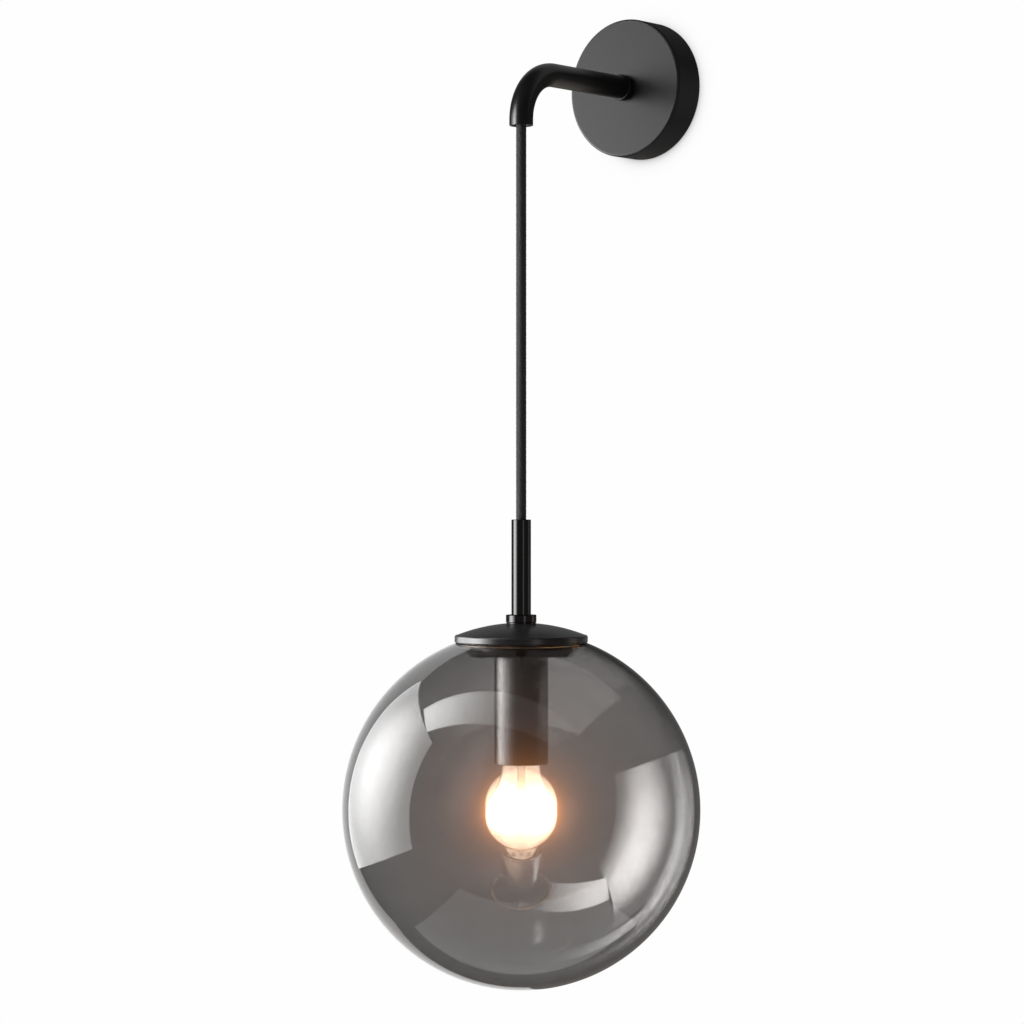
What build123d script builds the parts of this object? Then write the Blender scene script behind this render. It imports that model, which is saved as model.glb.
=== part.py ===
"""Globe wall sconce: round wall canopy, bent tubular arm, suspension cord and
a smoked glass globe with a screw-in lamp.

Frame: millimetres, +Z up, +X to the right seen from the front.  The wall is
the plane y = 0 with the wall behind it (+Y); the sconce stands out to -Y.
The origin is the centre of the wall bracket's screw pattern on the wall.
"""
import os
from math import atan2, cos, degrees, hypot, pi, radians, sin, sqrt, tan

from build123d import *

os.makedirs("parts", exist_ok=True)

# ------------------------------------------------------------------ dimensions
# wall side
CANOPY_R = 60.0          # outside radius of the wall canopy
CANOPY_DEPTH = 30.0      # how far the canopy face stands off the wall
CANOPY_T = 1.2           # sheet thickness
CANOPY_EDGE_R = 2.2      # rounded front edge
SET_SCREW_D = 13.0       # canopy screw axis, distance from the wall
EAR_TOP = 57.2           # outer face of the bracket ears
EAR_T = 2.2
BRACKET_T = 1.5
SLOT_Z = 32.5            # wall screw slots, above and below the centre
SLOT_W = 4.5
SLOT_L = 14.0
CABLE_R = 8.0            # supply cable hole in the bracket

# arm
ARM_REACH = 170.0        # wall to the axis of the hanging cord
ARM_R = 10.0             # outside radius of the arm tube
ARM_T = 1.5
BEND_R = 42.0            # centreline radius of the bend
MOUTH_Z = -47.0          # lower end of the arm tube
PIVOT_Z = -42.0          # where the cord starts to bend
ROOT_RING_R = 11.3
ROOT_RING_L = 6.5
NIPPLE_R = 6.5           # hollow M13 nipple that holds the arm on the canopy
NIPPLE_BORE_R = 5.2

# cord
CORD_R = 4.4             # braided cord
CORE_R = 1.1             # insulated conductors inside it
CORD_GAP = 0.25

# stem and cap
STEM_TOP = -377.0
STEM_BOT = -456.8
STEM_R = 8.2
STEM_BORE_R = 6.2
COLLAR_R = 12.8
COLLAR_BOT = -463.4
CAP_TOP = -464.2
CAP_R = 55.9
CAP_BOT = -480.0
CAP_T = 1.3
CAP_DOME_R = 148.0       # radius of the shallow dome
CAP_DOME_Z = -611.6      # centre of that dome
M10_R = 5.0
M10_BORE_R = 3.9

# globe
GLOBE_Z = -620.0
GLOBE_R = 150.0
GLOBE_T = 2.5
LIP_R = 2.2              # fire-polished bead round the mouth
LIP_TOP = -479.5

# gallery pan and clips
PAN_R = 43.9
PAN_BOT = -491.5
PAN_T = 1.0
CLIP_ANGLES = (10.5, 130.5, 250.5)
CLIP_W = 8.0
CLIP_T = 0.5

# socket cup and lampholder
CUP_R = 22.5
CUP_T = 1.2
CUP_BOT = -582.0
SHELL_TOP = -546.0
SHELL_BOT = -573.5
SHELL_IN_R = 13.35

# lamp
LAMP_TIP = -549.6
LAMP_R = 30.2
LAMP_Z = -624.4          # centre of the round part of the glass
LAMP_T = 0.8
LAMP_CAP_R = 13.2
LAMP_CAP_BOT = -576.6

AXIS = Pos(0, -ARM_REACH, 0)      # the line of the hanging cord


# --------------------------------------------------------------------- helpers
def rounded(points):
    """Edges of a closed outline of (u, v[, radius]) corners in the XZ plane."""
    pts = [(p[0], p[1], p[2] if len(p) > 2 else 0.0) for p in points]
    n = len(pts)
    ends = []
    for i in range(n):
        bx, bz, rad = pts[i]
        if rad <= 0:
            ends.append(((bx, bz), None, (bx, bz)))
            continue
        ax, az, _ = pts[i - 1]
        cx, cz, _ = pts[(i + 1) % n]
        ua, la = ((ax - bx), (az - bz)), hypot(ax - bx, az - bz)
        uc, lc = ((cx - bx), (cz - bz)), hypot(cx - bx, cz - bz)
        ua, uc = (ua[0] / la, ua[1] / la), (uc[0] / lc, uc[1] / lc)
        dot = max(-1.0, min(1.0, ua[0] * uc[0] + ua[1] * uc[1]))
        half = 0.5 * atan2(sqrt(max(0.0, 1 - dot * dot)), dot)
        t = rad / tan(half)
        bis = (ua[0] + uc[0], ua[1] + uc[1])
        lb = hypot(*bis)
        if lb < 1e-6:
            ends.append(((bx, bz), None, (bx, bz)))
            continue
        bis = (bis[0] / lb, bis[1] / lb)
        cen = rad / sin(half)
        mid = (bx + bis[0] * (cen - rad), bz + bis[1] * (cen - rad))
        ends.append(((bx + ua[0] * t, bz + ua[1] * t), mid, (bx + uc[0] * t, bz + uc[1] * t)))
    edges = []
    for i in range(n):
        a, mid, b = ends[i]
        if mid is not None:
            edges.append(ThreePointArc((a[0], 0, a[1]), (mid[0], 0, mid[1]), (b[0], 0, b[1])))
        nxt = ends[(i + 1) % n][0]
        if hypot(nxt[0] - b[0], nxt[1] - b[1]) > 1e-6:
            edges.append(Line((b[0], 0, b[1]), (nxt[0], 0, nxt[1])))
    return edges


def seg(a, b):
    return Line((a[0], 0, a[1]), (b[0], 0, b[1]))


def arc3(a, m, b):
    return ThreePointArc((a[0], 0, a[1]), (m[0], 0, m[1]), (b[0], 0, b[1]))


def spin(edges):
    """Solid of revolution about Z from edges in the XZ plane."""
    return revolve(make_face(edges), axis=Axis.Z, revolution_arc=360)


def lathe(points):
    """Revolved about the vertical cord axis; points are (radius, z[, corner])."""
    return AXIS * spin(rounded(points))


def lathe_wall(points):
    """Revolved about the arm axis; points are (radius, distance from wall[, corner])."""
    return Rot(90, 0, 0) * spin(rounded(points))


def disc_ring(r_in, r_out, z_a, z_b, corner=0.0):
    return lathe([(r_in, z_a), (r_out, z_a, corner), (r_out, z_b, corner), (r_in, z_b)])


def box(x0, x1, y0, y1, z0, z1):
    return Pos((x0 + x1) / 2, (y0 + y1) / 2, (z0 + z1) / 2) * Box(x1 - x0, y1 - y0, z1 - z0)


def rod_y(x, z, r, y0, y1):
    return Pos(x, (y0 + y1) / 2, z) * Rot(90, 0, 0) * Cylinder(r, abs(y1 - y0))


def rod_z(x, y, r, z0, z1):
    return Pos(x, y, (z0 + z1) / 2) * Cylinder(r, abs(z1 - z0))


def rod_x(y, z, r, x0, x1):
    return Pos((x0 + x1) / 2, y, z) * Rot(0, 90, 0) * Cylinder(r, abs(x1 - x0))


def hexagon(af, height):
    return extrude(RegularPolygon(radius=af / 2, side_count=6, major_radius=False), amount=height)


def strip(points, t, width):
    """A bent strip: centreline points (u, v) in XZ, thickness t, width along Y."""
    left, right = [], []
    n = len(points)
    for i, (u, v) in enumerate(points):
        if i == 0:
            d0 = d1 = (points[1][0] - u, points[1][1] - v)
        elif i == n - 1:
            d0 = d1 = (u - points[-2][0], v - points[-2][1])
        else:
            d0 = (u - points[i - 1][0], v - points[i - 1][1])
            d1 = (points[i + 1][0] - u, points[i + 1][1] - v)
        n0 = (-d0[1] / hypot(*d0), d0[0] / hypot(*d0))
        n1 = (-d1[1] / hypot(*d1), d1[0] / hypot(*d1))
        m = (n0[0] + n1[0], n0[1] + n1[1])
        lm = hypot(*m)
        m = (m[0] / lm, m[1] / lm)
        k = (t / 2) / max(0.3, m[0] * n0[0] + m[1] * n0[1])
        left.append((u + m[0] * k, v + m[1] * k))
        right.append((u - m[0] * k, v - m[1] * k))
    pts = left + right[::-1]
    edges = [seg(pts[i], pts[(i + 1) % len(pts)]) for i in range(len(pts))]
    return extrude(make_face(edges), amount=width / 2, both=True)


def wire_tube(points, radius, bend):
    """Round wire along straight runs joined by tangent arcs."""
    path = FilletPolyline(*points, radius=bend)
    start = path @ 0
    tangent = path % 0
    return sweep(Plane(origin=start, z_dir=tangent) * Circle(radius), path=path)


def at_angles(shape, angles):
    """Copies of a shape built about the Z axis, turned and put on the cord axis."""
    return [AXIS * (Rot(0, 0, a) * shape) for a in angles]


def save(shape, node):
    if isinstance(shape, (list, tuple)):
        shape = Compound(children=list(shape))
    export_step(shape, "parts/" + node + ".step")
    vol = shape.volume
    print(f"{node:28s} {vol:12.1f} mm3")


# ================================================================= wall bracket
bracket = box(-11, 11, -BRACKET_T, 0, -48, 48)
bracket += box(-7, 7, -BRACKET_T, 0, -EAR_TOP, EAR_TOP)
bracket += box(-36, 36, -BRACKET_T, 0, -17, 17)
for s in (1, -1):
    z0, z1 = sorted((s * (EAR_TOP - EAR_T), s * EAR_TOP))
    bracket += box(-7, 7, -20, 0, z0, z1)
bracket = fillet(bracket.edges().filter_by(Axis.Y).filter_by(
    lambda e: abs(abs(e.center().X) - 36) < 0.01 and abs(abs(e.center().Z) - 17) < 0.01), 4.0)
for s in (1, -1):
    slot = box(-SLOT_W / 2, SLOT_W / 2, -3, 3,
               s * SLOT_Z - (SLOT_L - SLOT_W) / 2, s * SLOT_Z + (SLOT_L - SLOT_W) / 2)
    for e in (1, -1):
        slot += rod_y(0, s * SLOT_Z + e * (SLOT_L - SLOT_W) / 2, SLOT_W / 2, -3, 3)
    bracket -= slot
bracket -= rod_y(0, 0, CABLE_R, -3, 3)
bracket -= rod_z(0, -SET_SCREW_D, 2.0, -EAR_TOP - 5, EAR_TOP + 5)
bracket -= rod_y(-27, 0, 2.0, -3, 3)
bracket -= rod_y(28, 0, 1.5, -3, 3)
save(bracket, "wall_bracket")

# ======================================================================= canopy
canopy = lathe_wall([
    (6.65, CANOPY_DEPTH), (CANOPY_R, CANOPY_DEPTH, CANOPY_EDGE_R), (CANOPY_R, 0.0),
    (CANOPY_R - CANOPY_T, 0.0), (CANOPY_R - CANOPY_T, CANOPY_DEPTH - CANOPY_T, CANOPY_EDGE_R - CANOPY_T),
    (6.65, CANOPY_DEPTH - CANOPY_T)])
canopy -= rod_z(0, -SET_SCREW_D, 2.15, -CANOPY_R - 5, CANOPY_R + 5)
save(canopy, "canopy")

screws = []
for s in (1, -1):
    body = rod_z(0, -SET_SCREW_D, 1.98, 54.3, 59.6)
    body = chamfer(body.edges().filter_by(GeomType.CIRCLE).sort_by(Axis.Z)[0], 0.8)
    body -= Pos(0, -SET_SCREW_D, 57.4) * hexagon(2.0, 4)
    screws.append(body if s > 0 else Rot(0, 180, 0) * body)
save(screws, "canopy_set_screws")

# ========================================================================== arm
y_bend = -(ARM_REACH - BEND_R)


def arm_run(radius, y_start, z_end):
    """A round bar along the arm: out from the wall, round the bend, and down."""
    bar = rod_y(0, 0, radius, y_start, y_bend)
    elbow = revolve(Plane(origin=(0, y_bend, 0), x_dir=(1, 0, 0), z_dir=(0, -1, 0)) * Circle(radius),
                    axis=Axis((0, y_bend, -BEND_R), (1, 0, 0)), revolution_arc=90)
    bar += elbow
    if z_end < -BEND_R - 1e-6:
        bar += rod_z(0, -ARM_REACH, radius, z_end, -BEND_R)
    return bar


arm = arm_run(ARM_R, -CANOPY_DEPTH, MOUTH_Z) - arm_run(ARM_R - ARM_T, -CANOPY_DEPTH + 1, MOUTH_Z - 1)
mouth_edges = arm.edges().filter_by(GeomType.CIRCLE).filter_by(lambda e: abs(e.center().Z - MOUTH_Z) < 0.01)
arm = fillet(mouth_edges, 0.45)
save(arm, "arm_tube")

save(lathe_wall([(ARM_R, CANOPY_DEPTH), (ROOT_RING_R, CANOPY_DEPTH, 0.4),
                 (ROOT_RING_R, CANOPY_DEPTH + ROOT_RING_L, 0.9), (ARM_R, CANOPY_DEPTH + ROOT_RING_L)]),
     "arm_root_ring")
save(lathe_wall([(NIPPLE_R, CANOPY_DEPTH), (ARM_R - ARM_T, CANOPY_DEPTH),
                 (ARM_R - ARM_T, CANOPY_DEPTH + 12, 0.8), (NIPPLE_R, CANOPY_DEPTH + 12)]),
     "arm_root_plug")
save(lathe_wall([(NIPPLE_BORE_R, 15.0), (NIPPLE_R, 15.0, 0.4), (NIPPLE_R, 40.5, 0.4), (NIPPLE_BORE_R, 40.5)]),
     "arm_nipple")

washer = lathe_wall([(6.6, CANOPY_DEPTH - CANOPY_T - 1.0), (11.2, CANOPY_DEPTH - CANOPY_T - 1.0),
                     (11.2, CANOPY_DEPTH - CANOPY_T), (6.6, CANOPY_DEPTH - CANOPY_T)])
for k in range(10):
    a = radians(36 * k)
    washer -= Rot(0, degrees(a), 0) * box(9.8, 12.5, -CANOPY_DEPTH, -CANOPY_DEPTH + 4, -0.9, 0.9)
save(washer, "arm_lock_washer")

nut = Rot(90, 0, 0) * (Pos(0, 0, 22.8) * hexagon(19.0, 5.0)) - rod_y(0, 0, NIPPLE_R, -35, -15)
nut = nut & lathe_wall([(0, 22.8), (10.9, 22.8, 0.9), (10.9, 27.8, 0.9), (0, 27.8)])
save(nut, "arm_nut")

# ------------------------------------------------------- cord anchor in the canopy
grip = lathe_wall([(4.45, 11.5), (8.6, 11.5, 1.2), (10.6, 15.0, 0.8), (10.6, 22.5, 0.6), (NIPPLE_R, 22.5),
                   (NIPPLE_R, 15.0), (4.45, 15.0)])
grip -= rod_x(-13.4, 0, 1.25, -12, 0)
save(grip, "cord_grip")
gs = rod_x(-13.4, 0, 1.2, -9.6, -4.5)
gs -= box(-10, -8.7, -14.6, -12.2, -0.3, 0.3)
save(gs, "cord_grip_screw")

# ------------------------------------------------------------ bushing in the mouth
save(lathe([(4.65, -38.5), (8.3, -38.5, 0.4), (8.3, -46.7), (7.9, -46.7), (5.3, -41.7), (4.65, -40.4)]),
     "outlet_bushing")

# ========================================================================= cord
pivot = Pos(0, -ARM_REACH, PIVOT_Z)
socket_ball = pivot * Sphere(CORD_R + CORD_GAP)
cord_arm = arm_run(CORD_R, -10.5, PIVOT_Z) - socket_ball
cord_arm = max(cord_arm.solids(), key=lambda s: s.volume)
save(cord_arm, "cord_in_arm")
save(pivot * Sphere(CORD_R), "cord_flex")
CORD_END = -394.0
cord = rod_z(0, -ARM_REACH, CORD_R, CORD_END, PIVOT_Z) - socket_ball
cord = max(cord.solids(), key=lambda s: s.volume)
save(cord, "hanging_cord")
save(disc_ring(CORD_R, 5.9, -381.15, -391.5, 0.5), "cord_ferrule")

# =============================================================== wiring in canopy
block = box(20, 36, -14.5, -BRACKET_T, -11, 11)
block = fillet(block.edges().filter_by(Axis.X), 1.2)
for s in (1, -1):
    block -= rod_x(-7.0, s * 6.0, 2.6, 18, 38)
    for x in (24, 32):
        block -= rod_y(x, s * 6.0, 1.9, -16, -8.6)
block -= rod_y(28, 0, 1.5, -16, 0)
block -= rod_y(28, 0, 2.9, -16, -9.5)
save(block, "terminal_block")
barrels, tscrews = [], []
for s in (1, -1):
    b = rod_x(-7.0, s * 6.0, 2.6, 21, 35) - rod_x(-7.0, s * 6.0, 1.6, 20, 36)
    for x in (24, 32):
        b -= rod_y(x, s * 6.0, 1.25, -12, -7)
        t = rod_y(x, s * 6.0, 1.2, -9.7, -8.4) + rod_y(x, s * 6.0, 1.8, -12.6, -9.7)
        t -= box(x - 2, x + 2, -12.7, -12.0, s * 6.0 - 0.25, s * 6.0 + 0.25)
        tscrews.append(t)
    barrels.append(b)
save(barrels, "terminal_barrels")
save(tscrews, "terminal_screws")
fix = rod_y(28, 0, 1.48, -9.5, 0) + rod_y(28, 0, 2.8, -11.6, -9.5)
fix -= box(24, 32, -11.7, -10.9, -0.35, 0.35)
save(fix, "terminal_block_screw")

ring = rod_y(-27, 0, 4.0, -BRACKET_T - 0.8, -BRACKET_T) - rod_y(-27, 0, 2.1, -5, 0)
ring += box(-24, -17.2, -BRACKET_T - 0.8, -BRACKET_T, -1.6, 1.6) - rod_y(-27, 0, 2.1, -5, 0)
ring += rod_x(-BRACKET_T - 1.9, 0, 1.9, -20.2, -15.0) - rod_x(-BRACKET_T - 1.9, 0, CORE_R, -21, -14)
save(ring, "earth_ring_terminal")
es = rod_y(-27, 0, 1.98, -2.3, 0) + rod_y(-27, 0, 3.8, -4.7, -2.3)
es = fillet(es.edges().filter_by(GeomType.CIRCLE).sort_by(Axis.Y)[0], 0.9)
es -= box(-31, -23, -4.8, -3.9, -0.4, 0.4)
save(es, "earth_screw")

save(wire_tube([(1.6, -10.4, 1.7), (1.6, -5.4, 1.7), (11.5, -5.4, 6.0), (20.9, -7.0, 6.0)], CORE_R, 2.2),
     "canopy_live_core")
save(wire_tube([(1.6, -10.4, -1.7), (1.6, -5.4, -1.7), (11.5, -5.4, -6.0), (20.9, -7.0, -6.0)], CORE_R, 2.2),
     "canopy_neutral_core")
save(wire_tube([(-2.1, -10.4, 0), (-2.1, -3.4, 0), (-16.4, -3.4, 0)], CORE_R, 2.4), "canopy_earth_core")

# ========================================================================= stem
save(lathe([(4.55, STEM_TOP), (STEM_R, STEM_TOP, 0.5), (STEM_R, STEM_BOT, 0.3), (STEM_BORE_R, STEM_BOT),
            (STEM_BORE_R, STEM_TOP - 4.0), (4.55, STEM_TOP - 4.0)]), "stem")
save(disc_ring(M10_R, STEM_BORE_R, -446.0, STEM_BOT), "stem_bush")
save(disc_ring(M10_R, COLLAR_R, STEM_BOT, COLLAR_BOT, 0.7), "stem_collar")
save(disc_ring(5.2, 12.35, COLLAR_BOT, CAP_TOP, 0.2), "collar_washer")
save(disc_ring(M10_BORE_R, M10_R, -447.0, -504.0, 0.3), "pendant_nipple")


# ========================================================================== cap
def dome(r, rad):
    return CAP_DOME_Z + sqrt(rad * rad - r * r)


ri = CAP_DOME_R - CAP_T
top_r = sqrt(CAP_DOME_R ** 2 - (CAP_TOP - CAP_DOME_Z) ** 2)
edge_r = CAP_R - 1.9
inner_top = CAP_TOP - CAP_T
inner_top_r = sqrt(ri ** 2 - (inner_top - CAP_DOME_Z) ** 2)
a0 = (5.1, CAP_TOP)
a1 = (top_r, CAP_TOP)
a2 = (edge_r, dome(edge_r, CAP_DOME_R))
am = ((top_r + edge_r) / 2, dome((top_r + edge_r) / 2, CAP_DOME_R))
b1 = (CAP_R, a2[1] - 1.9)
bm = (CAP_R - 0.50, a2[1] - 0.58)
b2 = (CAP_R, CAP_BOT + 1.0)
b3m = (CAP_R - 0.29, CAP_BOT + 0.29)
b3 = (CAP_R - 1.0, CAP_BOT)
c0 = (CAP_R - CAP_T, CAP_BOT)
c1 = (CAP_R - CAP_T, dome(CAP_R - CAP_T, ri))
c2 = (inner_top_r, inner_top)
cm = ((c1[0] + c2[0]) / 2, dome((c1[0] + c2[0]) / 2, ri))
c3 = (5.1, inner_top)
cap_edges = [seg(a0, a1), arc3(a1, am, a2), arc3(a2, bm, b1), seg(b1, b2), arc3(b2, b3m, b3), seg(b3, c0),
             seg(c0, c1), arc3(c1, cm, c2), seg(c2, c3), seg(c3, a0)]
save(AXIS * spin(cap_edges), "globe_cap")

# --------------------------------------------------------------- gallery pan, seal
flange_top = c1[1] - 0.12
pan = lathe([(5.1, PAN_BOT + PAN_T), (PAN_R - PAN_T, PAN_BOT + PAN_T, 0.8), (PAN_R - PAN_T, flange_top, 0.6),
             (54.3, flange_top), (54.3, flange_top - PAN_T), (PAN_R, flange_top - PAN_T, 0.5),
             (PAN_R, PAN_BOT, 1.8), (5.1, PAN_BOT)])
rivet_holes = at_angles(rod_z(37, 0, 1.2, PAN_BOT - 3, PAN_BOT + 3), CLIP_ANGLES)
for h in rivet_holes:
    pan -= h
save(pan, "gallery_pan")
save(disc_ring(47.0, 54.3, flange_top - PAN_T, LIP_TOP + 0.1, 0.6), "globe_gasket")

clip_line = [(33.5, PAN_BOT - CLIP_T / 2), (44.6, PAN_BOT - CLIP_T / 2), (46.0, PAN_BOT + 0.1),
             (51.6, -486.5), (52.1, -485.8), (51.6, -485.25), (47.2, -480.85)]
leaf = strip(clip_line, CLIP_T, CLIP_W)
leaf -= rod_z(37, 0, 1.2, PAN_BOT - 3, PAN_BOT + 3)
save(at_angles(leaf, CLIP_ANGLES), "spring_clips")
rivet = rod_z(37, 0, 1.15, PAN_BOT - CLIP_T, PAN_BOT + PAN_T)
head = rod_z(37, 0, 2.3, PAN_BOT - CLIP_T - 1.0, PAN_BOT - CLIP_T)
head = fillet(head.edges().filter_by(GeomType.CIRCLE).sort_by(Axis.Z)[0], 0.7)
tail = rod_z(37, 0, 2.0, PAN_BOT + PAN_T, PAN_BOT + PAN_T + 0.8)
save(at_angles(rivet + head + tail, CLIP_ANGLES), "clip_rivets")

# ------------------------------------------------------- nuts and washers on the rod
nuts, washers = [], []
for z_low in (inner_top - 6.0, PAN_BOT + PAN_T, PAN_BOT - CUP_T - 6.0):
    nu = Pos(0, 0, z_low) * hexagon(14.0, 5.0) - Cylinder(M10_R, 2000)
    nuts.append(AXIS * nu)
for z_top in (inner_top, PAN_BOT - CUP_T):
    washers.append(disc_ring(5.1, 9.0, z_top - 1.0, z_top, 0.2))
save(nuts, "pendant_nuts")
save(washers, "pendant_washers")

# ==================================================================== socket cup
cup = lathe([(5.1, PAN_BOT), (CUP_R, PAN_BOT, 0.6), (CUP_R, CUP_BOT, 0.9), (CUP_R - CUP_T, CUP_BOT, 0.2),
             (CUP_R - CUP_T, PAN_BOT - CUP_T, 0.6), (5.1, PAN_BOT - CUP_T)])
save(cup, "socket_cup")

# ==================================================================== lampholder
save(lathe([(M10_R, -499.2), (9.5, -499.2, 0.8), (12.0, -503.0, 1.0), (18.6, -509.0, 2.0), (18.6, -531.0, 0.4),
            (17.0, -531.0), (17.0, -510.5, 1.5), (9.8, -504.2), (M10_R, -504.2)]), "lampholder_hat")
base = lathe([(0, -533.0), (16.8, -533.0, 0.6), (16.8, -546.0, 0.3), (0, -546.0)])
for x in (-9.0, 9.0):
    base -= rod_z(x, -ARM_REACH, 1.5, -540, -530)
base -= rod_z(0, -ARM_REACH, 1.6, -547, -538)
save(base, "lampholder_base")
save(lathe([(17.0, -531.2), (20.6, -531.2, 0.5), (20.6, -575.0, 0.8), (14.9, -575.0, 0.5), (14.9, -546.2),
            (17.0, -546.2)]), "lampholder_sleeve")
# screw shell: rolled brass with shallow rings
shell_pts = [(SHELL_IN_R, SHELL_TOP - 0.3)]
outer = [(SHELL_IN_R + 0.45, SHELL_TOP - 0.3)]
z = SHELL_TOP - 2.0
k = 0
while z > SHELL_BOT + 1.5:
    shell_pts.append((SHELL_IN_R + (0.75 if k % 2 == 0 else 0.0), z, 0.5))
    outer.append((SHELL_IN_R + 0.45 + (0.75 if k % 2 == 0 else 0.0), z, 0.5))
    z -= 1.81
    k += 1
shell_pts.append((SHELL_IN_R, SHELL_BOT))
outer.append((SHELL_IN_R + 0.45, SHELL_BOT))
save(lathe(outer + shell_pts[::-1]), "screw_shell")
tongue = strip([(0.0, -546.35), (8.6, -546.35), (9.6, -546.9), (2.0, -549.0), (-2.2, -549.2)], 0.45, 5.0)
tongue += rod_z(0, 0, 1.55, -546.2, -538.5)
save(AXIS * tongue, "centre_contact")
posts, psc = [], []
for x in (-9.0, 9.0):
    p = rod_z(x, 0, 1.48, -539.9, -533.0) + box(x - 2.4, x + 2.4, -2.6, 2.6, -533.0, -526.5)
    p -= rod_z(x, 0, 1.25, -531.5, -526.0)
    p -= rod_y(x, -529.6, 1.15, -4, 4)
    q = rod_z(x, 0, 1.15, -528.6, -526.5) + rod_z(x, 0, 2.2, -526.5, -524.9)
    q -= box(x - 3, x + 3, -0.25, 0.25, -525.5, -524.8)
    posts.append(AXIS * p)
    psc.append(AXIS * q)
save(posts, "lampholder_terminals")
save(psc, "lampholder_terminal_screws")

# conductors from the cord's end to the lampholder
def core(points, bend):
    return wire_tube([(x, y - ARM_REACH, z) for x, y, z in points], CORE_R, bend)


save(core([(1.7, -1.0, CORD_END), (1.7, -1.0, -506.5), (9.0, -5.8, -517.0), (9.0, -5.8, -529.6),
           (9.0, -2.4, -529.6)], [6.0, 6.0, 1.5]), "pendant_live_core")
save(core([(-1.7, -1.0, CORD_END), (-1.7, -1.0, -506.5), (-9.0, -5.8, -517.0), (-9.0, -5.8, -529.6),
           (-9.0, -2.4, -529.6)], [6.0, 6.0, 1.5]), "pendant_neutral_core")
save(core([(0, 2.0, CORD_END), (0, 2.0, -507.0), (0, 10.0, -516.0), (0, 13.0, -521.0)], [6.0, 6.0]),
     "pendant_earth_core")

# ======================================================================== globe
rc = GLOBE_R - LIP_R
th = sqrt(rc ** 2 - (LIP_TOP - LIP_R - GLOBE_Z) ** 2)
lip_c = (th, LIP_TOP - LIP_R)
ang = atan2(lip_c[0], lip_c[1] - GLOBE_Z)
er = (sin(ang), cos(ang))
et = (cos(ang), -sin(ang))
r_in = GLOBE_R - GLOBE_T
u = (r_in ** 2 - rc ** 2 - LIP_R ** 2) / (2 * rc)
t = sqrt(LIP_R ** 2 - u ** 2)


def lip_pt(deg):
    c, s = cos(radians(deg)), sin(radians(deg))
    return (lip_c[0] + LIP_R * (c * er[0] + s * et[0]), lip_c[1] + LIP_R * (c * er[1] + s * et[1]))


start_deg = degrees(atan2(t, u))
p_in = lip_pt(start_deg)
p_mid = lip_pt((start_deg + 360) / 2)
p_out = lip_pt(360)


def on_sphere(rad, a):
    return (rad * sin(a), GLOBE_Z + rad * cos(a))


a_in = atan2(p_in[0], p_in[1] - GLOBE_Z)
a_out = atan2(p_out[0], p_out[1] - GLOBE_Z)
globe_edges = [
    arc3(on_sphere(GLOBE_R, a_out), on_sphere(GLOBE_R, (a_out + pi) / 2), (0, GLOBE_Z - GLOBE_R)),
    seg((0, GLOBE_Z - GLOBE_R), (0, GLOBE_Z - r_in)),
    arc3((0, GLOBE_Z - r_in), on_sphere(r_in, (a_in + pi) / 2), p_in),
    arc3(p_in, p_mid, on_sphere(GLOBE_R, a_out)),
]
save(AXIS * spin(globe_edges), "glass_globe")
print("globe mouth radius", round(lip_c[0] - LIP_R, 2))

# ========================================================================= lamp
# glass: neck, waist and round end
NECK = [(12.0, -572.0), (12.5, -576.2), (14.7, -580.8), (16.2, -586.2), (17.2, -591.8), (19.2, -597.6)]
JOIN = radians(48.0)     # polar angle where the neck meets the round end


def lamp_wall(off):
    """Neck curve and round end of the lamp glass, moved in by off."""
    rad = LAMP_R - off
    join = (rad * sin(JOIN), LAMP_Z + rad * cos(JOIN))
    neck = Spline(*[(r - off, 0, zz) for r, zz in NECK], (join[0], 0, join[1]),
                  tangents=[(0.03, 0, -1), (cos(JOIN), 0, -sin(JOIN))])
    mid = (JOIN + pi) / 2
    end = arc3(join, (rad * sin(mid), LAMP_Z + rad * cos(mid)), (0, LAMP_Z - rad))
    return neck, end


neck_o, end_o = lamp_wall(0.0)
neck_i, end_i = lamp_wall(LAMP_T)
lamp_edges = [neck_o, end_o, seg((0, LAMP_Z - LAMP_R), (0, LAMP_Z - LAMP_R + LAMP_T)), end_i, neck_i,
              seg((NECK[0][0] - LAMP_T, NECK[0][1]), NECK[0])]
save(AXIS * spin(lamp_edges), "lamp_glass")

# screw cap with rolled rings, black insulator and contact button
cap_out = [(11.6, -553.0), (12.4, -553.9, 0.4)]
z = -555.4
k = 0
while z > -574.0:
    cap_out.append((LAMP_CAP_R if k % 2 == 0 else LAMP_CAP_R - 1.05, z, 0.55))
    z -= 1.81
    k += 1
cap_out += [(LAMP_CAP_R, -574.6, 0.4), (LAMP_CAP_R, LAMP_CAP_BOT)]
lamp_cap = lathe(cap_out + [(LAMP_CAP_R - 0.35, LAMP_CAP_BOT), (LAMP_CAP_R - 0.35, -571.6), (11.85, -570.6),
                            (11.85, -554.6), (11.3, -553.5)])
save(lamp_cap, "lamp_screw_cap")
save(lathe([(4.7, -550.9, 0.3), (8.6, -551.2, 0.5), (11.2, -553.0), (11.2, -556.5), (4.7, -556.5)]),
     "lamp_insulator")
save(lathe([(0, LAMP_TIP), (2.6, LAMP_TIP, 0.6), (4.5, LAMP_TIP - 1.2), (4.5, LAMP_TIP - 2.4), (0, LAMP_TIP - 2.4)]),
     "lamp_contact")

# flared glass mount, support wires and coiled filament
save(lathe([(2.4, -572.6), (11.0, -572.6, 0.5), (7.0, -577.0, 2.0), (3.6, -586.0, 3.0), (3.4, -606.0, 0.6),
            (0, -607.5), (0, -604.5), (2.4, -602.0)]), "lamp_glass_mount")


def lamp_wire(points, radius, bend):
    return wire_tube([(x, y - ARM_REACH, zz) for x, y, zz in points], radius, bend)


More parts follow.
